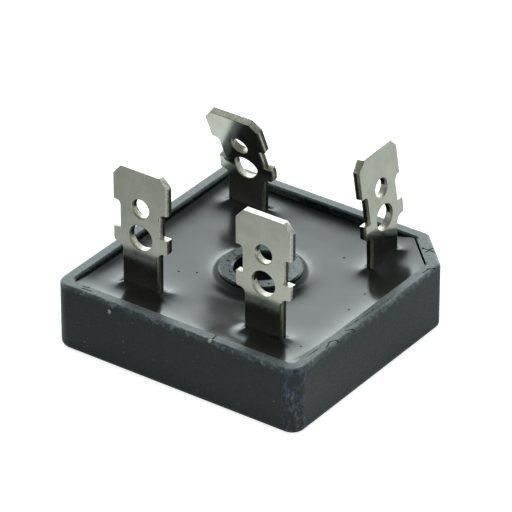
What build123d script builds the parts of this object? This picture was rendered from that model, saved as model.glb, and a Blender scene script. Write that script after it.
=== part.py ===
from build123d import *
import os
from math import radians, sqrt

# Bridge rectifier in a square moulded case, millimetres.
# Origin at the centre of the underside. +Z is up, through the screw hole.
# +X runs along the front wall to the right. The cut corner is at +X +Y.

# Case: moulded shell with a screw boss
CASE_SIDE = 28.5
CASE_HEIGHT = 7.25
CORNER_CUT = 4.2
CORNER_RADIUS = 1.5
CUT_END_RADIUS = 0.8
WALL = 1.35
FLOOR = 1.2
CAVITY_RADIUS = 0.5
BASE_ROUND = 0.7
RIM_OUTER_ROUND = 0.3
RIM_INNER_EDGE = 0.22

# Screw boss and hole
HOLE_DIAMETER = 5.3
BOSS_DIAMETER = 8.3
BOSS_HEIGHT = 7.05
BOSS_EDGE = 0.15
HOLE_LEAD_IN = 0.2

# Potting resin
RESIN_LEVEL = 6.1
CREEP = 0.45
CREEP_EDGE = 0.1
STEM_CREEP = 0.35

# Terminal stamping, measured down from the tip
TAB_WIDTH = 6.35
TAB_THICKNESS = 0.8
TIP_CUT_WIDTH = 0.88
TIP_CUT_LENGTH = 1.0
HEAD_LENGTH = 3.67
NOTCH_LENGTH = 3.22
NOTCH_DEPTH = 0.8
NOTCH_ROUND = 0.42
EAR_LENGTH = 1.3
EAR_CUT = 0.25
EAR_ROUND = 0.6
STEM_WIDTH = 4.25
SMALL_HOLE = 1.95
SMALL_HOLE_DROP = 4.07
LARGE_HOLE = 2.65
LARGE_HOLE_DROP = 7.28
ROLLED_EDGE = 0.16
BEND_CLEARANCE = 0.25
FOOT_BEND = 0.6
KNEE_HEIGHT = 7.2

# How each terminal stands: the middle of its rolled face, as shares of half the case side,
# its tip when flat, its lean and its skew. The lean bends the tab forward between the ears.
# The skew turns it in its own plane, at the knee.
NEGATIVE_SHARES = (-0.5144, -0.6667)
NEGATIVE_TIP = 19.4
NEGATIVE_LEAN = 0.0
NEGATIVE_SKEW = 0.0
AC_FRONT_SHARES = (0.4947, -0.6667)
AC_FRONT_TIP = 19.4
AC_FRONT_LEAN = 0.0
AC_FRONT_SKEW = 0.0
AC_BACK_SHARES = (-0.5768, 0.6351)
AC_BACK_TIP = 18.5
AC_BACK_LEAN = 23.1
AC_BACK_SKEW = 0.0
POSITIVE_SHARES = (0.6196, 0.5965)
POSITIVE_TIP = 18.75
POSITIVE_LEAN = -6.6
POSITIVE_SKEW = 2.4
POSITIVE_TURN = 90

# Stack inside the case
SPREADER_THICKNESS = 1.0
SPREADER_GAP = 0.5
SHEET_THICKNESS = 0.25
SHEET_GAP = 0.2
SLEEVE_GAP = 0.25
FOOT_BED = 0.1
DIE_SIDE = 3.0
DIE_THICKNESS = 0.3
DIE_BOSS_GAP = 0.9
SOLDER_THICKNESS = 0.1
PAD_MARGIN = 0.2

# Places nearer than this are the same place
SAME = 1e-6

NEGATIVE_PLACE, AC_FRONT_PLACE, AC_BACK_PLACE, POSITIVE_PLACE = [
    (x * CASE_SIDE / 2, y * CASE_SIDE / 2)
    for x, y in (NEGATIVE_SHARES, AC_FRONT_SHARES, AC_BACK_SHARES, POSITIVE_SHARES)
]

# The bend keeps clear of the top edges and the cut corners of the ears
BEND_DROP = HEAD_LENGTH + NOTCH_LENGTH + BEND_CLEARANCE
BEND_LENGTH = EAR_LENGTH - EAR_CUT - 2 * BEND_CLEARANCE

SHEET_BOTTOM = FLOOR + SPREADER_THICKNESS
LOWER_FOOT = SHEET_BOTTOM + SHEET_THICKNESS + FOOT_BED
DIE_BOTTOM = LOWER_FOOT + TAB_THICKNESS + SOLDER_THICKNESS
UPPER_FOOT = DIE_BOTTOM + DIE_THICKNESS + SOLDER_THICKNESS

DIE_REACH = BOSS_DIAMETER / 2 + DIE_BOSS_GAP + DIE_SIDE / 2
DIE_PLACES = {
    "right": (DIE_REACH, 0),
    "back": (0, DIE_REACH),
    "front": (0, -DIE_REACH),
    "left": (-DIE_REACH, 0),
}


def corners_at(face, places):
    """The face's corners at the given places."""
    return face.vertices().filter_by(
        lambda v: any(abs(v.X - x) < SAME and abs(v.Y - y) < SAME for x, y in places)
    )


def case_outline(inset, corner_radius, cut_end_radius):
    """The square with its cut corner, moved in from the outer sides by inset."""
    half = CASE_SIDE / 2 - inset
    leg = CORNER_CUT - inset * (2 - sqrt(2))
    square = [(-half, half), (-half, -half), (half, -half)]
    cut = [(half, half - leg), (half - leg, half)]
    face = make_face(Polyline(*square, *cut, close=True))
    face = fillet(corners_at(face, square), corner_radius)
    return fillet(corners_at(face, cut), cut_end_radius)


def slab(x_span, y_span, low, thickness):
    """A flat rectangular piece between two limits each way."""
    centre = ((x_span[0] + x_span[1]) / 2, (y_span[0] + y_span[1]) / 2, low + thickness / 2)
    return Pos(*centre) * Box(x_span[1] - x_span[0], y_span[1] - y_span[0], thickness)


def span(centre, size):
    """Limits of a size about a centre."""
    return (centre - size / 2, centre + size / 2)


def make_case():
    """Shell with a floor, then the boss, then the hole right through."""
    shell = extrude(case_outline(0, CORNER_RADIUS, CUT_END_RADIUS), CASE_HEIGHT)
    shell = fillet(shell.faces().sort_by(Axis.Z)[0].edges(), BASE_ROUND)
    shell = fillet(shell.faces().sort_by(Axis.Z)[-1].edges(), RIM_OUTER_ROUND)
    cavity = case_outline(WALL, CAVITY_RADIUS, CAVITY_RADIUS)
    shell -= Pos(0, 0, FLOOR) * extrude(cavity, CASE_HEIGHT)
    rim = shell.faces().sort_by(Axis.Z)[-1]
    shell = chamfer(rim.inner_wires()[0].edges(), RIM_INNER_EDGE)
    boss = Pos(0, 0, BOSS_HEIGHT / 2) * Cylinder(BOSS_DIAMETER / 2, BOSS_HEIGHT)
    boss = chamfer(boss.edges().sort_by(Axis.Z)[-1], BOSS_EDGE)
    shell += boss
    hole = Pos(0, 0, BOSS_HEIGHT / 2) * Cylinder(HOLE_DIAMETER / 2, BOSS_HEIGHT)
    lead_in_radius = HOLE_DIAMETER / 2 + HOLE_LEAD_IN
    hole += Pos(0, 0, HOLE_LEAD_IN / 2) * Cone(lead_in_radius, HOLE_DIAMETER / 2, HOLE_LEAD_IN)
    top = BOSS_HEIGHT - HOLE_LEAD_IN / 2
    hole += Pos(0, 0, top) * Cone(HOLE_DIAMETER / 2, lead_in_radius, HOLE_LEAD_IN)
    return shell - hole


def tab_outline(tip, stem_end, skew):
    """Flat outline from the tip down: cut tip, side notches, ears and stem. Y is the height.
    A skewed stem is bent back at the knee, so that its end is upright once the tab is turned.
    Gives the outline and the middle of the stem's end."""
    half = TAB_WIDTH / 2
    stem = STEM_WIDTH / 2
    waist = half - NOTCH_DEPTH
    notch_top = tip - HEAD_LENGTH
    notch_end = notch_top - NOTCH_LENGTH
    ear_end = notch_end - EAR_LENGTH
    right = [
        (half - TIP_CUT_WIDTH, tip),
        (half, tip - TIP_CUT_LENGTH),
        (half, notch_top),
        (waist, notch_top),
        (waist, notch_end),
        (half, notch_end),
        (half, ear_end + EAR_CUT),
        (half - EAR_CUT, ear_end),
        (stem, ear_end),
    ]
    if skew:
        right.append((stem, KNEE_HEIGHT))
    left = [(-x, y) for x, y in reversed(right)]
    below_knee = Pos(0, KNEE_HEIGHT) * Rot(0, 0, -skew)
    end = [(below_knee * Pos(x, stem_end - KNEE_HEIGHT)).position for x in (stem, 0, -stem)]
    face = make_face(Polyline(*right, end[0], end[2], *left, close=True))
    face = fillet(corners_at(face, [(waist, notch_top), (-waist, notch_top)]), NOTCH_ROUND)
    face = fillet(corners_at(face, [(stem, ear_end), (-stem, ear_end)]), EAR_ROUND)
    face -= Pos(0, tip - SMALL_HOLE_DROP) * Circle(SMALL_HOLE / 2)
    return face, (end[1].X, end[1].Y)


def stamped(face, joins):
    """A stretch of the stamping, front face at Y 0, with its front edges rolled over.
    Edges whose middles are at the joins, where the next stretch starts, stay square."""
    flat = extrude(Plane.XZ * face, -TAB_THICKNESS)
    edges = flat.edges().filter_by_position(Axis.Y, -SAME, SAME)
    for x, z in joins:
        edges = edges.filter_by(lambda e: (e.center() - Vector(x, 0, z)).length > SAME)
    return chamfer(edges, ROLLED_EDGE)


def bend_section(width):
    """Cross-section of the stamping, in plan, with the same edges as the flat stretches."""
    half = width / 2
    face = Pos(0, TAB_THICKNESS / 2) * Rectangle(width, TAB_THICKNESS)
    return chamfer(corners_at(face, [(half, 0), (-half, 0)]), ROLLED_EDGE)


def make_blade(tip, lean, skew, foot_top, foot_side):
    """Tab, bend and stem, with the quarter bend into its foot. Front face at Y 0, foot on foot_side.
    A positive lean tips the tab forward, towards -Y. A positive skew raises its +X side."""
    stem_end = foot_top + FOOT_BEND
    outline, end = tab_outline(tip, stem_end, skew)
    bend_high = tip - BEND_DROP
    bend_low = bend_high - BEND_LENGTH
    above = Pos(0, tip) * Rectangle(2 * TAB_WIDTH, 2 * BEND_DROP)
    upper = stamped(outline & above, [(0, bend_high)])
    below = Pos(0, bend_low - tip / 2) * Rectangle(2 * TAB_WIDTH, tip)
    lower = stamped(outline & below, [(0, bend_low), end])
    section = Pos(0, 0, bend_low) * bend_section(TAB_WIDTH)
    middle = TAB_THICKNESS / 2

    if lean == 0:
        blade = lower + extrude(section, BEND_LENGTH) + upper
        hole = Pos(0, middle, tip - LARGE_HOLE_DROP)
    else:
        radius = BEND_LENGTH / radians(abs(lean))
        pivot = middle - radius if lean > 0 else middle + radius
        axis = Axis((0, pivot, bend_low), (1, 0, 0))
        upper = (Pos(0, 0, -BEND_LENGTH) * upper).rotate(axis, lean)
        blade = lower + revolve(section, axis, lean) + upper
        part_of_bend = 1 - (LARGE_HOLE_DROP - BEND_DROP) / BEND_LENGTH
        hole = Pos(0, pivot, bend_low) * Rot(lean * part_of_bend, 0, 0) * Pos(0, middle - pivot, 0)
    blade -= hole * Rot(90, 0, 0) * Cylinder(LARGE_HOLE / 2, TAB_WIDTH)
    blade = Pos(0, 0, KNEE_HEIGHT) * Rot(0, -skew, 0) * Pos(0, 0, -KNEE_HEIGHT) * blade

    turn_at = TAB_THICKNESS + FOOT_BEND if foot_side > 0 else -FOOT_BEND
    foot_axis = Axis((0, turn_at, stem_end), (1, 0, 0))
    heel = revolve(Pos(0, 0, stem_end) * bend_section(STEM_WIDTH), foot_axis, 90 * foot_side)
    return blade + heel


def foot_plate(rectangles, low):
    """Flat foot under or over the dice, from overlapping rectangles."""
    plate = None
    for x_span, y_span in rectangles:
        piece = slab(x_span, y_span, low, TAB_THICKNESS)
        plate = piece if plate is None else plate + piece
    return plate


def pad(name):
    """The part of a foot that covers one die."""
    x, y = DIE_PLACES[name]
    size = DIE_SIDE + 2 * PAD_MARGIN
    return span(x, size), span(y, size)


def make_negative():
    x, y = NEGATIVE_PLACE
    start = y + TAB_THICKNESS + FOOT_BEND
    strip = span(x, STEM_WIDTH)
    rectangles = [
        ((strip[0], min(strip[1], pad("left")[0][1])), (start, pad("left")[1][1])),
        pad("left"),
        ((x, pad("front")[0][1]), span(DIE_PLACES["front"][1], DIE_SIDE)),
    ]
    blade = make_blade(NEGATIVE_TIP, NEGATIVE_LEAN, NEGATIVE_SKEW, LOWER_FOOT + TAB_THICKNESS, 1)
    return Pos(x, y, 0) * blade + foot_plate(rectangles, LOWER_FOOT)


def make_positive():
    x, y = POSITIVE_PLACE
    start = x - TAB_THICKNESS - FOOT_BEND
    strip = span(y, STEM_WIDTH)
    rectangles = [
        ((pad("back")[0][0], start), strip),
        pad("back"),
        ((span(DIE_PLACES["right"][0], DIE_SIDE)[0], start), (pad("right")[1][0], strip[1])),
        pad("right"),
    ]
    blade = make_blade(POSITIVE_TIP, POSITIVE_LEAN, POSITIVE_SKEW, LOWER_FOOT + TAB_THICKNESS, 1)
    return Pos(x, y, 0) * Rot(0, 0, POSITIVE_TURN) * blade + foot_plate(rectangles, LOWER_FOOT)


def make_ac_front():
    x, y = AC_FRONT_PLACE
    start = y + TAB_THICKNESS + FOOT_BEND
    strip = span(x, STEM_WIDTH)
    rectangles = [
        ((max(strip[0], pad("right")[0][0]), strip[1]), (start, pad("right")[1][1])),
        pad("right"),
        ((pad("front")[0][0], strip[1]), span(DIE_PLACES["front"][1], DIE_SIDE)),
    ]
    blade = make_blade(AC_FRONT_TIP, AC_FRONT_LEAN, AC_FRONT_SKEW, UPPER_FOOT + TAB_THICKNESS, 1)
    return Pos(x, y, 0) * blade + foot_plate(rectangles, UPPER_FOOT)


def make_ac_back():
    x, y = AC_BACK_PLACE
    start = y - FOOT_BEND
    strip = span(x, STEM_WIDTH)
    rectangles = [
        ((strip[0], min(strip[1], pad("left")[0][1])), (pad("left")[1][0], start)),
        pad("left"),
        ((strip[0], pad("back")[0][1]), span(DIE_PLACES["back"][1], DIE_SIDE)),
    ]
    blade = make_blade(AC_BACK_TIP, AC_BACK_LEAN, AC_BACK_SKEW, UPPER_FOOT + TAB_THICKNESS, -1)
    return Pos(x, y, 0) * blade + foot_plate(rectangles, UPPER_FOOT)


def floor_plate(gap, low, thickness):
    """A plate shaped to the cavity, with room for the boss."""
    face = case_outline(WALL + gap, CAVITY_RADIUS, CAVITY_RADIUS)
    face -= Circle(BOSS_DIAMETER / 2 + SLEEVE_GAP)
    return Pos(0, 0, low) * extrude(face, thickness)


def make_die(name):
    x, y = DIE_PLACES[name]
    return slab(span(x, DIE_SIDE), span(y, DIE_SIDE), DIE_BOTTOM, DIE_THICKNESS)


def make_solder():
    layers = []
    for x, y in DIE_PLACES.values():
        for low in (DIE_BOTTOM - SOLDER_THICKNESS, DIE_BOTTOM + DIE_THICKNESS):
            layers.append(slab(span(x, DIE_SIDE), span(y, DIE_SIDE), low, SOLDER_THICKNESS))
    return Compound(layers)


def make_resin(embedded):
    """The cavity filled to its level, creeping up every wall it wets, round everything embedded."""
    cavity = case_outline(WALL, CAVITY_RADIUS, CAVITY_RADIUS)
    fill = Pos(0, 0, FLOOR) * extrude(cavity, RESIN_LEVEL + CREEP - CREEP_EDGE - FLOOR)
    air = Pos(0, 0, RESIN_LEVEL) * extrude(cavity, CASE_HEIGHT)
    boss = Pos(0, 0, CASE_HEIGHT) * Cylinder(BOSS_DIAMETER / 2, 2 * CASE_HEIGHT)
    air -= boss
    stem = extrude(bend_section(STEM_WIDTH), 2 * CASE_HEIGHT)
    for x, y in (NEGATIVE_PLACE, AC_FRONT_PLACE, AC_BACK_PLACE):
        air -= Pos(x, y, 0) * stem
    air -= Pos(*POSITIVE_PLACE, 0) * Rot(0, 0, POSITIVE_TURN) * stem
    at_stems = air.faces().sort_by(Axis.Z)[0].inner_wires().filter_by(lambda w: len(w.edges()) > 1)
    air = chamfer([edge for wire in at_stems for edge in wire.edges()], STEM_CREEP)
    surface = air.faces().sort_by(Axis.Z)[0]
    at_boss = surface.inner_wires().filter_by(lambda w: len(w.edges()) == 1)[0]
    air = fillet(surface.outer_wire().edges() + at_boss.edges(), CREEP)
    resin = fill - boss - air
    for piece in embedded:
        resin -= piece
    return resin


case = make_case()
terminals = {
    "terminal_positive": make_positive(),
    "terminal_negative": make_negative(),
    "terminal_ac_front": make_ac_front(),
    "terminal_ac_back": make_ac_back(),
}
heat_spreader = floor_plate(SPREADER_GAP, FLOOR, SPREADER_THICKNESS)
insulating_sheet = floor_plate(SHEET_GAP, SHEET_BOTTOM, SHEET_THICKNESS)
dice = {f"diode_{name}": make_die(name) for name in DIE_PLACES}
solder_joints = make_solder()
embedded = [*terminals.values(), heat_spreader, insulating_sheet, *dice.values(), *solder_joints.solids()]

parts = {
    "case": case,
    **terminals,
    "heat_spreader": heat_spreader,
    "insulating_sheet": insulating_sheet,
    **dice,
    "solder_joints": solder_joints,
    "potting_resin": make_resin(embedded),
}
os.makedirs("parts", exist_ok=True)
for name, solid in parts.items():
    export_step(solid, f"parts/{name}.step")
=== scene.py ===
import bpy
import math
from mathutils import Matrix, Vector


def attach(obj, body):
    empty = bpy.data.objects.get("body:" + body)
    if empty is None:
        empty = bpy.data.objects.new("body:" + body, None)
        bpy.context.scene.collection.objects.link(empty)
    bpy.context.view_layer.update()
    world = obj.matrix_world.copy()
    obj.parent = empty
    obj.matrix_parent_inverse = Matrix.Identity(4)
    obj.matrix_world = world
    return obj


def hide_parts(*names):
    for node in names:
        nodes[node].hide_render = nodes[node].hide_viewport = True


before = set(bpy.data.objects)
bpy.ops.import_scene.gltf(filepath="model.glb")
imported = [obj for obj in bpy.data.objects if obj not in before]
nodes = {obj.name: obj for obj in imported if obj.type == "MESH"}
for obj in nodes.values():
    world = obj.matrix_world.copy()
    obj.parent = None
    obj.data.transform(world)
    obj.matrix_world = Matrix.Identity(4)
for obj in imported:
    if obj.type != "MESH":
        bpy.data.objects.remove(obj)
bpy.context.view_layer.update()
scene = bpy.context.scene

MM = 0.001

# Case, in millimetres and in the CAD frame: half the cavity's side, the sum x + y at the cut corner's
# inner wall, and the boss
CAVITY = 12.9
CAVITY_CUT = 21.91
BOSS_RADIUS = 4.15

# Terminal stamping, measured down from its tip. Pairs are for its left side, -1, and its right side, 1
TAB_WIDTH = 6.35
TAB_THICKNESS = 0.8
TIP_CUT_WIDTH = 0.88
TIP_CUT_LENGTH = 1.0
HEAD_LENGTH = 3.9
NOTCH_DEPTH = 0.8
NOTCH_ROUND = 0.42
EAR_TOP_DROP = {-1: 6.87, 1: 6.6}
EAR_END_DROP = {-1: 8.45, 1: 8.2}
EAR_CUT = 0.25
EAR_ROUND = 0.6
STEM_WIDTH = 4.25
SMALL_HOLE = 1.95
SMALL_HOLE_DROP = 4.07
LARGE_HOLE = 2.65
LARGE_HOLE_DROP = 7.28
BEND_DROP = 7.14
BEND_LENGTH = 0.55
BEND_STEPS = 5
KNEE_HEIGHT = 7.2
FOOT_LENGTH = 8.0

# Its edges: how far they are broken, how far the holes' edges are rolled on a tab whose own roll is
# FULL_ROLL, how far above the ear the notch's roll starts, and how deep the torn part of a cut begins
EDGE_BREAK = 0.05
TIP_CUT_BREAK = 0.12
SMALL_HOLE_ROLL = 0.18
LARGE_HOLE_ROLL = 0.14
FULL_ROLL = 0.3
NOTCH_ROLL_GAP = 0.04
TORN_DEPTH = 0.36

# How each terminal stands: the middle of its front face, the turn, tip, lean and skew, how far its
# front edges are rolled, the underside of its foot, and the side the foot is on
TERMINALS = {
    "terminal_negative": ((-7.33, -9.5), 0, 19.4, 0.0, 0.0, 0.3, 2.55, 1),
    "terminal_ac_front": ((7.05, -9.5), 0, 19.4, 0.0, 0.0, 0.22, 3.85, 1),
    "terminal_ac_back": ((-8.22, 9.05), 0, 18.5, 23.1, 0.0, 0.2, 3.85, -1),
    "terminal_positive": ((8.83, 8.5), 90, 18.75, -6.6, 2.4, 0.16, 2.55, 1),
}

# Resin: its level in the middle, the height it never passes, the thickness of its skin, how far the skin
# is let into the walls and past the cut wall's sum x + y, and the radius of its hole, inside the boss
RESIN_MIDDLE = 5.95
RESIN_REACH = 7.15
RESIN_SKIN = 0.3
RESIN_LET_IN = 0.15
RESIN_CUT_LET_IN = 0.2
BOSS_INSIDE = 3.2
# How high the resin creeps and how far that reaches: at each wall, at the cut corner's wall, as a wide
# dish towards each wall, at the boss and at the stems
WALL_CREEP = {"right": (0.5, 1.15), "left": (0.35, 0.6), "back": (0.26, 0.85), "front": (0.5, 1.15)}
CUT_WALL_CREEP = (1.0, 1.0)
DISH = {"right": (0.15, 4.0), "left": (0.3, 4.0), "back": (0.22, 4.0), "front": (0.15, 4.0)}
BOSS_CREEP = (0.75, 0.55)
STEM_CREEP = (0.5, 0.9)

# Fineness of the meshes: squares along the resin, segments of rounds, broken edges, rolled edges and
# rolled hole edges, sides of a hole, and the angles in degrees below which faces are smoothed or joined
RESIN_SQUARES = 150
ROUND_SEGMENTS = 6
BREAK_SEGMENTS = 2
ROLL_SEGMENTS = 5
HOLE_ROLL_SEGMENTS = 4
HOLE_SIDES = 64
RESIN_SMOOTH = 50
TAB_SMOOTH = 40
JOIN_ANGLE = 1

# Picking and slicing: how near counts as the same place, and as on the slice, the room left at the ends of
# a line and round a hole, and the share of a face's normal that makes it square on, or under which it is
# part of a cut edge or, facing up less than that, takes the torn part's dark, which is partly painted shade
SAME = 0.003
SLICE_ROOM = 0.001
END_ROOM = 0.01
HOLE_ROOM = 0.02
SQUARE_ON = 0.9
EDGE_FACING = 0.93
TORN_SHADE_FACING = 0.2

# Marks: cracks and scratches in the rim, seams where the resin's skin drew back, chips in a side, burst
# bubbles in the resin, and how far drawn lines wander
RIM_MARKS = (
    ((11.0, 11.55), (12.55, 11.5)), ((11.75, 10.95), (12.0, 12.3)), ((13.65, 7.6), (13.75, 8.6)),
    ((13.75, 8.6), (14.2, 9.1)), ((13.9, -8.95), (13.6, -7.85)), ((13.6, -7.85), (13.9, -7.3)),
    ((13.9, -7.3), (14.2, -7.3)), ((13.65, -5.4), (14.2, -4.6)), ((-11.3, -13.7), (-10.1, -13.55)),
    ((-11.3, -13.35), (-10.65, -13.25)), ((4.3, -13.9), (4.2, -12.9)),
)
SCRATCHES = (
    ((13.38, -5.0), (13.69, -0.75)), ((13.69, -0.75), (13.84, 2.7)), ((13.3, -11.2), (13.45, -9.2)),
)
MARK_WIDTH = 0.14
SEAMS = (
    ((12.12, -11.6), (12.36, -9.1)), ((12.36, -9.1), (12.31, -7.1)), ((12.31, -7.1), (12.58, -3.1)),
    ((12.58, -3.1), (12.72, 0.6)),
)
SEAM_WIDTH = 0.1
CHIPS = ((-7.6, -14.25, 6.2), (4.2, -14.2, 7.18))
BUBBLES = ((-6.75, -4.2), (-5.2, -3.35), (4.8, 7.25), (10.35, 2.75), (10.75, -0.55), (10.95, -8.8))
BUBBLE_RADIUS = 0.11
WANDER = 0.3

# Where wear and the resin's dull collar fade: heights for the rim's wear, for the brink where every face is
# worn and for the scuffs, distances from the middle for the sides, x - y for the near corner, and radii for
# the boss and collar
RIM_WEAR = (6.9, 7.02)
BRINK = (7.08, 7.16)
SCUFFS = (6.55, 7.05)
SIDES = (13.8, 14.1)
NEAR_CORNER = (26.6, 27.4)
BOSS_WEAR = 4.3
COLLAR = (4.45, 4.85)

# Paper: its side in metres, how far it lies under the object, its glow as the camera and as metal see it,
# the ways in which its painted light grows and its painted shade then falls, from where to where, and how
# dark that painted shade ends
PAPER_SIDE = 3.0
PAPER_DROP = 0.02
PAPER_GLOW = 0.85
PAPER_GLOW_MIRRORED = 0.15
PAINTED_LIGHT_WAY = (0.756, 0.655, 0)
PAINTED_LIGHT_SPAN = (-41, -1)
PAINTED_SHADE_WAY = (0.8, 0.6, 0)
PAINTED_SHADE_SPAN = (8, 22)
PAINTED_SHADE_DEEPEST = 0.42

# Lamp overhead, in metres and watts
LAMP_PLACE = (0, 0.05, 0.6)
LAMP_SIZE = 0.5
LAMP_POWER = 1.5

# Window and room: strengths, the way to the window, and where it fades sideways and upwards. Its low part
# is brighter
WINDOW_LIGHT = 2.6
ROOM_LIGHT = 0.19
WINDOW_WAY = (-0.582, 0.813, 0.0)
WINDOW_SIDE = (0.25, 0.72)
WINDOW_TOP = (0.55, 0.72)
WINDOW_LOW = (0.38, 0.5)
LOW_GAIN = 1.25

# Camera: angles in degrees, distance and target in millimetres, focal length in pixels of the picture
AZIMUTH = 35.587
ELEVATION = 30.948
DISTANCE = 454.394
TARGET = (-3.37, 3.926, 5.0)
FOCAL_PIXELS = 4642.881
PICTURE_PIXELS = 512
SENSOR = 36.0
CLIP_START = 0.01


def linear(hex_colour):
    """sRGB hex as linear RGBA."""
    values = [int(hex_colour[i:i + 2], 16) / 255 for i in (1, 3, 5)]
    return [v / 12.92 if v <= 0.04045 else ((v + 0.055) / 1.055) ** 2.4 for v in values] + [1.0]


def node(tree, kind, settings=None, out=0, **links):
    """Adds a node and gives one of its outputs. settings are its properties, or socket values by name or
    number. Each link is a socket name, or _number, and the output or value that goes in."""
    n = tree.nodes.new(kind)
    for key, value in (settings or {}).items():
        if isinstance(key, str) and hasattr(n, key):
            setattr(n, key, value)
        else:
            n.inputs[key].default_value = value
    for key, source in links.items():
        socket = n.inputs[int(key[1:])] if key[0] == "_" else n.inputs[key.replace("_", " ")]
        if isinstance(source, bpy.types.NodeSocket):
            tree.links.new(source, socket)
        else:
            socket.default_value = source
    return n.outputs[out] if n.outputs else None


def new_material(name):
    """An empty material and its Object coordinates."""
    material = bpy.data.materials.new(name)
    material.use_nodes = True
    tree = material.node_tree
    tree.nodes.clear()
    return material, tree, node(tree, "ShaderNodeTexCoord", out="Object")


NOISE = "ShaderNodeTexNoise"
RAMP = "ShaderNodeMapRange"
MIX = "ShaderNodeMix"
MATH = "ShaderNodeMath"
VECTOR = "ShaderNodeVectorMath"
BUMP = "ShaderNodeBump"
SPLIT = "ShaderNodeSeparateXYZ"
SHADER = "ShaderNodeBsdfPrincipled"
SURFACE = "ShaderNodeOutputMaterial"
SMOOTH = {"interpolation_type": "SMOOTHSTEP"}
COLOUR = {"data_type": "RGBA"}
NUMBER = {"data_type": "FLOAT"}
PLUS = {"operation": "ADD"}
MINUS = {"operation": "SUBTRACT"}
TIMES = {"operation": "MULTIPLY"}
TIMES_PLUS = {"operation": "MULTIPLY_ADD"}
LARGER = {"operation": "MAXIMUM"}
LESS = {"operation": "LESS_THAN"}
UNSIGNED = {"operation": "ABSOLUTE"}
DOT = {"operation": "DOT_PRODUCT"}
LENGTH = {"operation": "LENGTH"}
APART = {"operation": "DISTANCE"}


def stroke(tree, place, start, end, width):
    """1 within a straight stroke between two points on the plan, in millimetres, and 0 elsewhere."""
    along = (Vector(end) - Vector(start)).to_3d()
    middle = (Vector(end) + Vector(start)).to_3d() / 2 * MM
    across = Vector((-along.y, along.x, 0)).normalized()
    offset = node(tree, VECTOR, MINUS, _0=place, _1=middle)
    far = node(tree, VECTOR, DOT, out="Value", _0=offset, _1=along.normalized())
    far = node(tree, MATH, UNSIGNED, _0=far)
    far = node(tree, MATH, LESS, _0=far, _1=along.length / 2 * MM)
    wide = node(tree, VECTOR, DOT, out="Value", _0=offset, _1=across)
    wide = node(tree, MATH, UNSIGNED, _0=wide)
    wide = node(tree, MATH, LESS, _0=wide, _1=width / 2 * MM)
    return node(tree, MATH, TIMES, _0=far, _1=wide)


def wandering(tree, flat, scale):
    """Places on the plan moved about by noise, so that straight strokes drawn there wander a little."""
    drift = node(tree, NOISE, {"Scale": scale / MM, "Detail": 2.0}, out="Color", Vector=flat)
    drift = node(
        tree, VECTOR, TIMES_PLUS,
        _0=drift, _1=(WANDER * MM, WANDER * MM, 0), _2=(-WANDER / 2 * MM, -WANDER / 2 * MM, 0),
    )
    return node(tree, VECTOR, PLUS, _0=flat, _1=drift)


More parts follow.
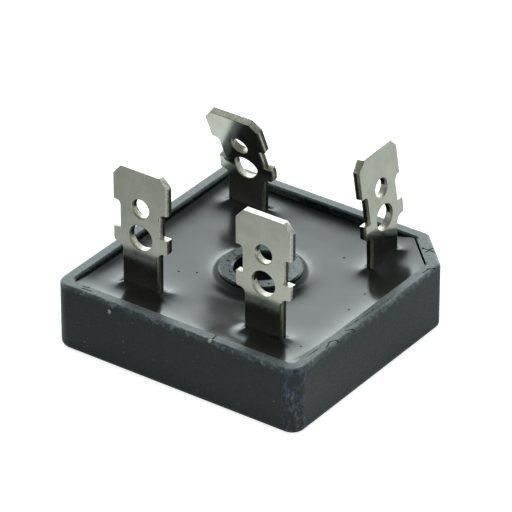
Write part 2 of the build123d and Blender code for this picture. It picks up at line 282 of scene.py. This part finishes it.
def moulded_plastic():
    """Black thermoset moulding from a spark-eroded mould: grained, with dust in the grain. The rim
    and the boss are worn flatter and paler on top, and the near corner is scuffed."""
    material, tree, place = new_material("moulded_black_plastic")
    x, y, z = node(tree, SPLIT, Vector=place).node.outputs

    # Grain of 0.15 mm, mottling of 1 mm, patches of 6 mm
    grain = node(tree, NOISE, {"Scale": 6 / MM, "Detail": 3.0, "Roughness": 0.65}, Vector=place)
    mottle = node(tree, NOISE, {"Scale": 0.9 / MM, "Detail": 5.0, "Roughness": 0.7}, Vector=place)
    patch = node(tree, NOISE, {"Scale": 0.16 / MM, "Detail": 2.0}, Vector=place)
    shade = node(tree, RAMP, {**SMOOTH, "From Min": 0.3, "From Max": 0.72}, Value=mottle)
    tint = node(tree, RAMP, {**SMOOTH, "From Min": 0.35, "From Max": 0.65}, Value=patch)
    light = node(tree, MIX, COLOUR, out=2, _0=tint, _6=linear("#171f29"), _7=linear("#172326"))
    colour = node(tree, MIX, COLOUR, out=2, _0=shade, _6=linear("#060d10"), _7=light)

    # Worn tops of the rim and boss, the boss with pits of 0.2 mm
    top = node(tree, RAMP, {**SMOOTH, "From Min": RIM_WEAR[0] * MM, "From Max": RIM_WEAR[1] * MM}, Value=z)
    out_x = node(tree, MATH, UNSIGNED, _0=x)
    out_y = node(tree, MATH, UNSIGNED, _0=y)
    out = node(tree, MATH, LARGER, _0=out_x, _1=out_y)
    at_side = node(tree, RAMP, {**SMOOTH, "From Min": SIDES[0] * MM, "From Max": SIDES[1] * MM}, Value=out)
    facing = node(tree, SPLIT, out="Z", Vector=node(tree, "ShaderNodeNewGeometry", out="Normal"))
    facing = node(tree, RAMP, {**SMOOTH, "From Min": 0.75, "From Max": 0.95}, Value=facing)
    facing = node(tree, MATH, LARGER, _0=facing, _1=at_side)
    brink = node(tree, RAMP, {**SMOOTH, "From Min": BRINK[0] * MM, "From Max": BRINK[1] * MM}, Value=z)
    facing = node(tree, MATH, LARGER, _0=facing, _1=brink)
    top = node(tree, MATH, TIMES, _0=top, _1=facing)
    flat = node(tree, VECTOR, TIMES, _0=place, _1=(1, 1, 0))
    radius = node(tree, VECTOR, LENGTH, out="Value", _0=flat)
    boss = node(tree, MATH, LESS, _0=radius, _1=BOSS_WEAR * MM)
    holes = node(tree, NOISE, {"Scale": 2.4 / MM, "Detail": 2.0, "Roughness": 0.6}, Vector=place)
    pit = node(tree, RAMP, {**SMOOTH, "From Min": 0.58, "From Max": 0.66}, Value=holes)
    pit = node(tree, MATH, TIMES, _0=pit, _1=boss)
    rubbing = node(tree, NOISE, {"Scale": 2.2 / MM, "Detail": 5.0, "Roughness": 0.7}, Vector=place)
    rubbing = node(tree, RAMP, {**SMOOTH, "From Min": 0.38, "From Max": 0.62}, Value=rubbing)
    worn = node(tree, MIX, COLOUR, out=2, _0=rubbing, _6=linear("#414a4b"), _7=linear("#535d5e"))
    colour = node(tree, MIX, COLOUR, out=2, _0=top, _6=colour, _7=worn)

    # Dust, up to 0.2 mm across
    cell = node(tree, "ShaderNodeTexVoronoi", {"Scale": 1.7 / MM}, Vector=place)
    pale = node(tree, "ShaderNodeSeparateColor", Color=cell.node.outputs["Color"])
    density = node(tree, NOISE, {"Scale": 0.5 / MM, "Detail": 3.0}, Vector=place)
    size = node(
        tree, RAMP, {"From Min": 0.4, "From Max": 0.7, "To Min": 0.03, "To Max": 0.19}, Value=density,
    )
    speck = node(tree, MATH, LESS, _0=cell, _1=size)
    pale = node(tree, RAMP, {**SMOOTH, "From Min": 0.1, "From Max": 1.2}, Value=pale)
    speck = node(tree, MATH, TIMES, _0=speck, _1=pale)
    colour = node(tree, MIX, COLOUR, out=2, _0=speck, _6=colour, _7=linear("#7b868b"))

    # Scuffs: a broken pale skin on the rim's outer edge, and streaks down the near corner
    at_top = node(tree, RAMP, {**SMOOTH, "From Min": SCUFFS[0] * MM, "From Max": SCUFFS[1] * MM}, Value=z)
    at_rim = node(tree, MATH, TIMES, _0=at_side, _1=at_top)
    torn = node(tree, NOISE, {"Scale": 1.6 / MM, "Detail": 6.0, "Roughness": 0.75}, Vector=place)
    torn = node(tree, RAMP, {**SMOOTH, "From Min": 0.46, "From Max": 0.64}, Value=torn)
    rubbed = node(tree, MATH, TIMES, _0=at_rim, _1=torn)
    colour = node(tree, MIX, COLOUR, out=2, _0=rubbed, _6=colour, _7=linear("#838e92"))
    to_corner = node(tree, MATH, MINUS, _0=x, _1=y)
    at_corner = node(
        tree, RAMP, {**SMOOTH, "From Min": NEAR_CORNER[0] * MM, "From Max": NEAR_CORNER[1] * MM},
        Value=to_corner,
    )
    upright = node(tree, VECTOR, TIMES, _0=place, _1=(1, 1, 0.45))
    streak = node(tree, NOISE, {"Scale": 1.7 / MM, "Detail": 6.0, "Roughness": 0.75}, Vector=upright)
    streak = node(tree, RAMP, {**SMOOTH, "From Min": 0.47, "From Max": 0.72}, Value=streak)
    streak = node(tree, MATH, TIMES, _0=streak, _1=at_corner)
    colour = node(tree, MIX, COLOUR, out=2, _0=streak, _6=colour, _7=linear("#75809a"))

    # Scratches broken by the rubbing, the boss's pits, and cracks, all only where the top is worn
    drawn = wandering(tree, flat, 2.0)
    mark = 0.0
    for start, end in SCRATCHES:
        mark = node(tree, MATH, LARGER, _0=mark, _1=stroke(tree, drawn, start, end, MARK_WIDTH))
    mark = node(tree, MATH, TIMES, _0=mark, _1=rubbing)
    mark = node(tree, MATH, LARGER, _0=mark, _1=pit)
    for start, end in RIM_MARKS:
        mark = node(tree, MATH, LARGER, _0=mark, _1=stroke(tree, drawn, start, end, MARK_WIDTH))
    mark = node(tree, MATH, TIMES, _0=mark, _1=top)
    colour = node(tree, MIX, COLOUR, out=2, _0=mark, _6=colour, _7=linear("#0b0f11"))

    # Chips, where the pale filler shows
    for chip in CHIPS:
        apart = node(tree, VECTOR, APART, out="Value", _0=place, _1=Vector(chip) * MM)
        ragged = node(tree, MATH, TIMES_PLUS, _0=grain, _1=0.5 * MM, _2=-0.04 * MM)
        chipped = node(tree, MATH, LESS, _0=apart, _1=ragged)
        colour = node(tree, MIX, COLOUR, out=2, _0=chipped, _6=colour, _7=linear("#c6c2b2"))

    # Shine of the sides, the worn tops and the marks, and bumps that the wear has flattened
    rough = node(
        tree, RAMP, {"From Min": 0.3, "From Max": 0.7, "To Min": 0.2, "To Max": 0.36}, Value=mottle,
    )
    worn_rough = node(
        tree, RAMP, {"From Min": 0.3, "From Max": 0.7, "To Min": 0.26, "To Max": 0.38}, Value=mottle,
    )
    rough = node(tree, MIX, NUMBER, _0=top, _2=rough, _3=worn_rough)
    rough = node(tree, MIX, NUMBER, _0=mark, _2=rough, _3=0.8)
    shine = node(tree, RAMP, {"To Min": 0.5, "To Max": 0.1}, Value=mark)
    depth = node(tree, RAMP, {"To Min": 0.35, "To Max": 0.06}, Value=top)
    dents = node(tree, BUMP, {"Distance": 0.06 * MM}, Strength=depth, Height=mottle)
    bump = node(tree, BUMP, {"Strength": 0.45, "Distance": 0.02 * MM}, Height=grain, Normal=dents)
    shader = node(
        tree, SHADER, {"IOR": 1.5},
        Base_Color=colour, Roughness=rough, Normal=bump, Specular_IOR_Level=shine,
    )
    node(tree, SURFACE, Surface=shader)
    return material


def cast_resin():
    """Black epoxy, poured and cured: glossy but a little hazed, with slow waves and a few burst bubbles.
    Its collar round the boss is dull and grained."""
    material, tree, place = new_material("cast_black_epoxy")
    haze = node(tree, NOISE, {"Scale": 0.35 / MM, "Detail": 3.0}, Vector=place)
    rough = node(
        tree, RAMP, {"From Min": 0.35, "From Max": 0.7, "To Min": 0.17, "To Max": 0.25}, Value=haze,
    )
    waves = node(tree, NOISE, {"Scale": 0.22 / MM, "Detail": 1.0}, Vector=place)
    flat = node(tree, VECTOR, TIMES, _0=place, _1=(1, 1, 0))

    # Collar, with grain of 0.3 mm
    radius = node(tree, VECTOR, LENGTH, out="Value", _0=flat)
    collar = node(
        tree, RAMP,
        {**SMOOTH, "From Min": COLLAR[0] * MM, "From Max": COLLAR[1] * MM, "To Min": 1.0, "To Max": 0.0},
        Value=radius,
    )
    grain = node(tree, NOISE, {"Scale": 3 / MM, "Detail": 3.0, "Roughness": 0.65}, Vector=place)
    dull = node(tree, MIX, COLOUR, out=2, _0=grain, _6=linear("#0b0e0f"), _7=linear("#2b3233"))
    colour = node(tree, MIX, COLOUR, out=2, _0=collar, _6=linear("#0b0c0d"), _7=dull)
    rough = node(tree, MIX, NUMBER, _0=collar, _2=rough, _3=0.5)
    shine = node(tree, RAMP, {"To Min": 0.5, "To Max": 0.15}, Value=collar)

    # Burst bubbles and seams, which don't shine
    for bubble in BUBBLES:
        apart = node(tree, VECTOR, APART, out="Value", _0=flat, _1=Vector(bubble).to_3d() * MM)
        burst = node(tree, MATH, LESS, _0=apart, _1=BUBBLE_RADIUS * MM)
        shine = node(tree, MIX, NUMBER, _0=burst, _2=shine, _3=0.0)
    drawn = wandering(tree, flat, 1.2)
    for start, end in SEAMS:
        seam = stroke(tree, drawn, start, end, SEAM_WIDTH)
        shine = node(tree, MIX, NUMBER, _0=seam, _2=shine, _3=0.12)
    bump = node(tree, BUMP, {"Strength": 0.12, "Distance": 0.4 * MM}, Height=waves)
    shader = node(
        tree, SHADER, {"IOR": 1.56},
        Base_Color=colour, Roughness=rough, Normal=bump, Specular_IOR_Level=shine,
    )
    node(tree, SURFACE, Surface=shader)
    return material


def tin_plate():
    """Stamped brass, tin plated: a soft mirror, a little warm, with slow dimples from the press."""
    material, tree, place = new_material("bright_tin_plate")
    blotch = node(tree, NOISE, {"Scale": 0.35 / MM, "Detail": 5.0, "Roughness": 0.65}, Vector=place)
    shade = node(tree, RAMP, {**SMOOTH, "From Min": 0.3, "From Max": 0.7}, Value=blotch)
    colour = node(tree, MIX, COLOUR, out=2, _0=shade, _6=linear("#cfcabb"), _7=linear("#dfdbcf"))
    rough = node(
        tree, RAMP, {"From Min": 0.3, "From Max": 0.7, "To Min": 0.1, "To Max": 0.18}, Value=blotch,
    )
    dimple = node(tree, NOISE, {"Scale": 0.2 / MM, "Detail": 1.0}, Vector=place)
    bump = node(tree, BUMP, {"Strength": 0.12, "Distance": 0.4 * MM}, Height=dimple)
    shader = node(tree, SHADER, {"Metallic": 1.0}, Base_Color=colour, Roughness=rough, Normal=bump)
    node(tree, SURFACE, Surface=shader)
    return material


def sheared_edge(name, dark, light):
    """A cut edge of the stamping, rough. It is pale where the die rolled and burnished it and the plating
    took, and dark behind that, partly where it tore and partly as painted shade."""
    material, tree, place = new_material(name)
    # Torn grain of 0.2 mm
    tear = node(tree, NOISE, {"Scale": 5 / MM, "Detail": 4.0, "Roughness": 0.7}, Vector=place)
    shade = node(tree, RAMP, {**SMOOTH, "From Min": 0.35, "From Max": 0.65}, Value=tear)
    colour = node(tree, MIX, COLOUR, out=2, _0=shade, _6=linear(dark), _7=linear(light))
    rough = node(tree, RAMP, {"From Min": 0.3, "From Max": 0.7, "To Min": 0.28, "To Max": 0.5}, Value=tear)
    bump = node(tree, BUMP, {"Strength": 0.5, "Distance": 0.05 * MM}, Height=tear)
    shader = node(tree, SHADER, {"Metallic": 1.0}, Base_Color=colour, Roughness=rough, Normal=bump)
    node(tree, SURFACE, Surface=shader)
    return material


def inner_material(name, dark, light, rough, metallic):
    """A hidden metal, die or film inside the case, a little uneven."""
    material, tree, place = new_material(name)
    blotch = node(tree, NOISE, {"Scale": 0.5 / MM, "Detail": 3.0}, Vector=place)
    colour = node(tree, MIX, COLOUR, out=2, _0=blotch, _6=linear(dark), _7=linear(light))
    shader = node(tree, SHADER, {"Roughness": rough, "Metallic": metallic}, Base_Color=colour)
    node(tree, SURFACE, Surface=shader)
    return material


def dress(piece, material):
    piece.data.materials.clear()
    piece.data.materials.append(material)


def pick(piece, kind, test):
    """In edit mode, selects only what passes a test of its place in millimetres. Faces are tested by
    their middle and normal, and edges by both ends."""
    bpy.ops.mesh.select_mode(type=kind)
    bpy.ops.mesh.select_all(action="DESELECT")
    bpy.ops.object.mode_set(mode="OBJECT")
    mesh = piece.data
    if kind == "FACE":
        for face in mesh.polygons:
            face.select = test(face.center / MM, face.normal)
    elif kind == "EDGE":
        for edge in mesh.edges:
            edge.select = all(test(mesh.vertices[i].co / MM) for i in edge.vertices)
    else:
        for vertex in mesh.vertices:
            vertex.select = test(vertex.co / MM)
    bpy.ops.object.mode_set(mode="EDIT")


def near(value, target):
    return abs(value - target) < SAME


def slice_at(place, normal, **options):
    """Cuts the whole mesh along a plane."""
    bpy.ops.mesh.select_all(action="SELECT")
    bpy.ops.mesh.bisect(plane_co=Vector(place) * MM, plane_no=normal, threshold=SLICE_ROOM * MM, **options)


def round_edges(width, segments):
    """Bevels the picked edges."""
    bpy.ops.mesh.bevel(offset=width * MM, segments=segments, affect="EDGES", clamp_overlap=False)


def stem_distance(x, y, name):
    """How far a point is from a stem's rectangle."""
    (mid_x, mid_y), turn = TERMINALS[name][:2]
    half_x, half_y = STEM_WIDTH / 2, TAB_THICKNESS / 2
    if turn:
        half_x, half_y = half_y, half_x
        mid_x -= TAB_THICKNESS / 2
    else:
        mid_y += TAB_THICKNESS / 2
    return math.hypot(max(abs(x - mid_x) - half_x, 0.0), max(abs(y - mid_y) - half_y, 0.0))


def creep(distance, height, reach):
    """Height of the resin where it has crept up a wall."""
    return height * math.exp(-max(distance, 0.0) / reach)


def pour_resin(material):
    """The poured resin: a skin over the cavity, drawn up at the walls, boss and stems, with its edges let
    into the walls and the boss."""
    bpy.ops.object.select_all(action="DESELECT")
    bpy.ops.mesh.primitive_grid_add(
        x_subdivisions=RESIN_SQUARES, y_subdivisions=RESIN_SQUARES,
        size=2 * (CAVITY + RESIN_LET_IN) * MM, location=(0, 0, RESIN_MIDDLE * MM),
    )
    piece = bpy.context.object
    piece.name = "resin_fill"
    bpy.ops.object.transform_apply(location=True, rotation=True, scale=True)
    bpy.ops.object.mode_set(mode="EDIT")
    edge = (CAVITY_CUT + RESIN_CUT_LET_IN) / 2
    slice_at((edge, edge, 0), (1, 1, 0), clear_outer=True)
    pick(piece, "FACE", lambda c, n: math.hypot(c.x, c.y) < BOSS_INSIDE)
    bpy.ops.mesh.delete(type="FACE")
    bpy.ops.object.mode_set(mode="OBJECT")
    limit = RESIN_REACH - RESIN_MIDDLE
    for vertex in piece.data.vertices:
        x, y = vertex.co.x / MM, vertex.co.y / MM
        walls = {"right": CAVITY - x, "left": CAVITY + x, "back": CAVITY - y, "front": CAVITY + y}
        rise = sum(creep(far, *WALL_CREEP[wall]) + creep(far, *DISH[wall]) for wall, far in walls.items())
        rise += creep((CAVITY_CUT - x - y) / math.sqrt(2), *CUT_WALL_CREEP)
        rise += creep(math.hypot(x, y) - BOSS_RADIUS, *BOSS_CREEP)
        for name in TERMINALS:
            rise += creep(stem_distance(x, y, name), *STEM_CREEP)
        if rise >= limit / 2:
            rise = limit - limit / 2 * math.exp(1 - 2 * rise / limit)
        vertex.co.z += rise * MM
    bpy.ops.object.mode_set(mode="EDIT")
    bpy.ops.mesh.select_all(action="SELECT")
    bpy.ops.mesh.extrude_region_move(TRANSFORM_OT_translate={"value": (0, 0, -RESIN_SKIN * MM)})
    bpy.ops.mesh.select_all(action="SELECT")
    bpy.ops.mesh.normals_make_consistent(inside=False)
    bpy.ops.object.mode_set(mode="OBJECT")
    bpy.ops.object.shade_smooth_by_angle(angle=math.radians(RESIN_SMOOTH))
    dress(piece, material)
    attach(piece, "root")
    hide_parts("potting_resin")


def punch(piece, radius, height):
    """A round hole through the flat stamping."""
    bpy.ops.object.mode_set(mode="OBJECT")
    bpy.ops.object.select_all(action="DESELECT")
    bpy.ops.mesh.primitive_cylinder_add(
        vertices=HOLE_SIDES, radius=radius * MM, depth=4 * TAB_THICKNESS * MM,
        location=(0, 0, height * MM), rotation=(math.pi / 2, 0, 0),
    )
    tool = bpy.context.object
    bpy.context.view_layer.objects.active = piece
    cut = piece.modifiers.new("punch", "BOOLEAN")
    cut.object = tool
    bpy.ops.object.modifier_apply(modifier=cut.name)
    bpy.data.objects.remove(tool)
    bpy.ops.object.select_all(action="DESELECT")
    piece.select_set(True)
    bpy.ops.object.mode_set(mode="EDIT")


def stamp_terminal(name, material, edge_material, torn_and_painted_shade_material):
    """A terminal: flat blank cut to its outline, punched, its front edges rolled by the die, then bent."""
    (x, y), turn, tip, lean, skew, roll, foot, foot_side = TERMINALS[name]
    half, stem = TAB_WIDTH / 2, STEM_WIDTH / 2
    waist = half - NOTCH_DEPTH
    notch_top = tip - HEAD_LENGTH
    ear_top = {side: tip - drop for side, drop in EAR_TOP_DROP.items()}
    ear_end = {side: tip - drop for side, drop in EAR_END_DROP.items()}
    side_of = lambda v: 1 if v.x > 0 else -1
    stem_end = foot + TAB_THICKNESS

    # Blank, with the notches and the strips beside the stem cut away
    bpy.ops.object.select_all(action="DESELECT")
    bpy.ops.mesh.primitive_plane_add(
        size=1, location=(0, 0, (tip + stem_end) / 2 * MM), rotation=(math.pi / 2, 0, 0),
    )
    piece = bpy.context.object
    piece.name = name.replace("terminal", "tab")
    piece.scale = (TAB_WIDTH * MM, (tip - stem_end) * MM, 1)
    bpy.ops.object.transform_apply(location=True, rotation=True, scale=True)
    bpy.ops.object.mode_set(mode="EDIT")
    for side in (-1, 1):
        slice_at((side * waist, 0, 0), (1, 0, 0))
        slice_at((side * stem, 0, 0), (1, 0, 0))
        slice_at(
            (side * half, 0, tip - TIP_CUT_LENGTH), (side * TIP_CUT_LENGTH, 0, TIP_CUT_WIDTH),
            clear_outer=True,
        )
    for height in (notch_top, *ear_top.values(), *ear_end.values()):
        slice_at((0, 0, height), (0, 0, 1))
    pick(piece, "FACE", lambda c, n: abs(c.x) > waist and ear_top[side_of(c)] < c.z < notch_top)
    bpy.ops.mesh.delete(type="FACE")
    pick(piece, "FACE", lambda c, n: abs(c.x) > stem and c.z < ear_end[side_of(c)])
    bpy.ops.mesh.delete(type="FACE")
    bpy.ops.mesh.select_all(action="SELECT")
    bpy.ops.mesh.dissolve_limited(angle_limit=math.radians(JOIN_ANGLE))
    pick(piece, "VERT", lambda v: near(abs(v.x), waist) and near(v.z, notch_top))
    bpy.ops.mesh.bevel(offset=NOTCH_ROUND * MM, segments=ROUND_SEGMENTS, affect="VERTICES")
    pick(piece, "VERT", lambda v: near(abs(v.x), stem) and near(v.z, ear_end[side_of(v)]))
    bpy.ops.mesh.bevel(offset=EAR_ROUND * MM, segments=ROUND_SEGMENTS, affect="VERTICES")
    pick(piece, "VERT", lambda v: near(abs(v.x), half) and near(v.z, ear_end[side_of(v)]))
    bpy.ops.mesh.bevel(offset=EAR_CUT * MM, segments=BREAK_SEGMENTS, affect="VERTICES")

    # Thickness, then the edges: the front ones on the right rolled by the die, the others broken. The
    # slices give the rolls their ends
    bpy.ops.mesh.select_all(action="SELECT")
    bpy.ops.mesh.extrude_region_move(TRANSFORM_OT_translate={"value": (0, TAB_THICKNESS * MM, 0)})
    bpy.ops.mesh.select_all(action="SELECT")
    bpy.ops.mesh.normals_make_consistent(inside=False)
    pick(piece, "EDGE", lambda v: near(v.y, TAB_THICKNESS))
    round_edges(EDGE_BREAK, BREAK_SEGMENTS)
    notch_low = ear_top[1] + NOTCH_ROLL_GAP
    notch_high = notch_top - NOTCH_ROUND
    stem_high = ear_end[1] - EAR_ROUND
    for height in (notch_low, notch_high, stem_high):
        slice_at((0, 0, height), (0, 0, 1))
    for line in (
        lambda v: near(v.x, half),
        lambda v: near(v.x, waist) and notch_low - END_ROOM < v.z < notch_high + END_ROOM,
        lambda v: near(v.x, stem) and v.z < stem_high + END_ROOM,
    ):
        pick(piece, "EDGE", lambda v: near(v.y, 0) and line(v))
        round_edges(roll, ROLL_SEGMENTS)
    on_cut = lambda v: near((v.x - half) / TIP_CUT_WIDTH + (v.z - tip) / TIP_CUT_LENGTH, -1)
    on_left_cut = lambda v: near((v.z - tip) / TIP_CUT_LENGTH - (v.x + half) / TIP_CUT_WIDTH, -1)
    pick(piece, "EDGE", lambda v: near(v.y, 0) and on_left_cut(v))
    round_edges(TIP_CUT_BREAK, BREAK_SEGMENTS)
    pick(piece, "EDGE", lambda v: near(v.y, 0) and (near(v.z, tip) or on_cut(v) or v.x < 0))
    round_edges(EDGE_BREAK, BREAK_SEGMENTS)

    # Holes, punched from the front
    for radius, drop, edge in (
        (SMALL_HOLE / 2, SMALL_HOLE_DROP, SMALL_HOLE_ROLL),
        (LARGE_HOLE / 2, LARGE_HOLE_DROP, LARGE_HOLE_ROLL),
    ):
        punch(piece, radius, tip - drop)
        off_hole = lambda v: abs(math.hypot(v.x, v.z - tip + drop) - radius)
        pick(piece, "EDGE", lambda v: near(v.y, 0) and off_hole(v) < HOLE_ROOM)
        round_edges(edge * roll / FULL_ROLL, HOLE_ROLL_SEGMENTS)

    # Rolled and sheared faces take the second material, and their torn back part the third, a dark that is
    # partly torn metal and partly painted shade, save on top
    slice_at((0, TORN_DEPTH, 0), (0, 1, 0))
    bpy.ops.object.mode_set(mode="OBJECT")
    dress(piece, material)
    piece.data.materials.append(edge_material)
    piece.data.materials.append(torn_and_painted_shade_material)
    for face in piece.data.polygons:
        if abs(face.normal.y) < EDGE_FACING:
            torn = face.center.y > TORN_DEPTH * MM and face.normal.z < TORN_SHADE_FACING
            face.material_index = 2 if torn else 1
    bpy.ops.object.mode_set(mode="EDIT")

    # Foot, inside the resin
    pick(piece, "FACE", lambda c, n: n.z < -SQUARE_ON and near(c.z, stem_end))
    bpy.ops.mesh.extrude_region_move(TRANSFORM_OT_translate={"value": (0, 0, -TAB_THICKNESS * MM)})
    pick(piece, "FACE", lambda c, n: n.y * foot_side > SQUARE_ON and c.z < stem_end)
    reach = foot_side * FOOT_LENGTH
    bpy.ops.mesh.extrude_region_move(TRANSFORM_OT_translate={"value": (0, reach * MM, 0)})

    # Bends, from the top down: the lean between the ears, then the skew at the knee
    bends = []
    for step in range(BEND_STEPS if lean else 0):
        level = tip - BEND_DROP - BEND_LENGTH * step / (BEND_STEPS - 1)
        bends.append((level, "X", lean / BEND_STEPS))
    bends.append((KNEE_HEIGHT, "Y", -skew))
    for level, axis, angle in bends:
        slice_at((0, 0, level), (0, 0, 1))
        pick(piece, "VERT", lambda v: v.z > level + SAME)
        bpy.ops.transform.rotate(
            value=-math.radians(angle), orient_axis=axis,
            center_override=(0, TAB_THICKNESS / 2 * MM, level * MM),
        )
    bpy.ops.object.mode_set(mode="OBJECT")

    piece.location = (x * MM, y * MM, 0)
    piece.rotation_euler = (0, 0, math.radians(turn))
    bpy.ops.object.transform_apply(location=True, rotation=True, scale=True)
    bpy.ops.object.shade_smooth_by_angle(angle=math.radians(TAB_SMOOTH))
    flatten = piece.modifiers.new("flat_faces", "WEIGHTED_NORMAL")
    flatten.keep_sharp = True
    bpy.ops.object.modifier_apply(modifier=flatten.name)
    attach(piece, "root")
    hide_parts(name)


# Materials
plastic = moulded_plastic()
resin = cast_resin()
tin = tin_plate()
cut_edge = sheared_edge("sheared_tin_plated_edge", "#c4bda9", "#ebe7da")
# The torn edge's dark is partly torn metal and partly painted shade
torn_edge_and_painted_shade = sheared_edge("torn_brass_edge_and_painted_shade", "#33312d", "#6e6a60")
copper = inner_material("rolled_copper", "#a8684a", "#b97a5a", 0.35, 1.0)
film = inner_material("amber_insulating_film", "#8a5a1c", "#9c6a26", 0.3, 0.0)
silicon = inner_material("polished_silicon", "#4a4d55", "#585c66", 0.15, 0.0)
solder = inner_material("dull_solder", "#8d8d8b", "#a3a3a0", 0.45, 1.0)

dress(nodes["case"], plastic)
for name in TERMINALS:
    dress(nodes[name], tin)
dress(nodes["heat_spreader"], copper)
dress(nodes["insulating_sheet"], film)
for name in ("diode_right", "diode_back", "diode_front", "diode_left"):
    dress(nodes[name], silicon)
dress(nodes["solder_joints"], solder)

for name in TERMINALS:
    stamp_terminal(name, tin, cut_edge, torn_edge_and_painted_shade)
pour_resin(resin)

# Floor: pale paper, white to the camera, with the object's shadow and with painted light and shade in its
# colour
bpy.ops.object.select_all(action="DESELECT")
bpy.ops.mesh.primitive_plane_add(size=PAPER_SIDE, location=(0, 0, -PAPER_DROP * MM))
floor = bpy.context.object
floor.name = "paper_floor"
paper, tree, place = new_material("paper_with_painted_light_and_shade")
path = node(tree, "ShaderNodeLightPath").node.outputs
mirrored = node(tree, MATH, PLUS, _0=path["Is Glossy Ray"], _1=path["Is Transmission Ray"])
mirrored = node(tree, MATH, TIMES, _0=mirrored, _1=PAPER_GLOW_MIRRORED)
glow = node(tree, MATH, TIMES_PLUS, _0=path["Is Camera Ray"], _1=PAPER_GLOW, _2=mirrored)
# Painted light and shade in the paper's colour: lighter along one way, then darker again towards the right
across = node(tree, VECTOR, DOT, out="Value", _0=place, _1=PAINTED_LIGHT_WAY)
painted_light = node(tree, RAMP, {**SMOOTH, "From Min": PAINTED_LIGHT_SPAN[0] * MM, "From Max": PAINTED_LIGHT_SPAN[1] * MM}, Value=across)
right = node(tree, VECTOR, DOT, out="Value", _0=place, _1=PAINTED_SHADE_WAY)
painted_shade = node(
    tree, RAMP,
    {**SMOOTH, "From Min": PAINTED_SHADE_SPAN[0] * MM, "From Max": PAINTED_SHADE_SPAN[1] * MM, "To Min": 1.0, "To Max": PAINTED_SHADE_DEEPEST},
    Value=right,
)
painted_light = node(tree, MATH, TIMES, _0=painted_light, _1=painted_shade)
shade = node(tree, MIX, COLOUR, out=2, _0=painted_light, _6=linear("#828989"), _7=linear("#e1eaea"))
matte = node(tree, "ShaderNodeBsdfDiffuse", Color=shade)
light = node(tree, "ShaderNodeEmission", Strength=glow)
both = node(tree, "ShaderNodeAddShader", _0=matte, _1=light)
node(tree, SURFACE, Surface=both)
dress(floor, paper)

# Overhead: a wide soft lamp that lights the paper and isn't mirrored
bpy.ops.object.light_add(type="AREA", location=LAMP_PLACE)
lamp = bpy.context.object
lamp.name = "overhead_light"
lamp.data.shape = "DISK"
lamp.data.size = LAMP_SIZE
lamp.data.energy = LAMP_POWER
lamp.visible_glossy = False

# World: a pale room with a large soft light behind the object
world = bpy.data.worlds.new("soft_studio")
scene.world = world
world.use_nodes = True
tree = world.node_tree
tree.nodes.clear()
way = node(tree, "ShaderNodeTexCoord", out="Generated")
ahead = node(tree, VECTOR, DOT, out="Value", _0=way, _1=WINDOW_WAY)
across = node(tree, RAMP, {**SMOOTH, "From Min": WINDOW_SIDE[0], "From Max": WINDOW_SIDE[1]}, Value=ahead)
height = node(tree, SPLIT, out="Z", Vector=way)
below = node(
    tree, RAMP,
    {**SMOOTH, "From Min": WINDOW_TOP[0], "From Max": WINDOW_TOP[1], "To Min": 1.0, "To Max": 0.0},
    Value=height,
)
gain = node(
    tree, RAMP,
    {**SMOOTH, "From Min": WINDOW_LOW[0], "From Max": WINDOW_LOW[1], "To Min": LOW_GAIN, "To Max": 1.0},
    Value=height,
)
below = node(tree, MATH, TIMES, _0=below, _1=gain)
window = node(tree, MATH, TIMES, _0=across, _1=below)
room = node(tree, MATH, TIMES_PLUS, _0=window, _1=WINDOW_LIGHT, _2=ROOM_LIGHT)
sky = node(tree, "ShaderNodeBackground", {"Color": linear("#f5ffff")}, Strength=room)
node(tree, "ShaderNodeOutputWorld", Surface=sky)

# Camera at the photograph's viewing angle
azimuth = math.radians(AZIMUTH)
elevation = math.radians(ELEVATION)
back = Vector((
    math.sin(azimuth) * math.cos(elevation), -math.cos(azimuth) * math.cos(elevation), math.sin(elevation),
))
lens = bpy.data.cameras.new("camera")
lens.sensor_width = SENSOR
lens.lens = SENSOR * FOCAL_PIXELS / PICTURE_PIXELS
lens.clip_start = CLIP_START
camera = bpy.data.objects.new("camera", lens)
scene.collection.objects.link(camera)
camera.location = (Vector(TARGET) + back * DISTANCE) * MM
camera.rotation_euler = back.to_track_quat("Z", "Y").to_euler()
scene.camera = camera

scene.view_settings.view_transform = "Standard"
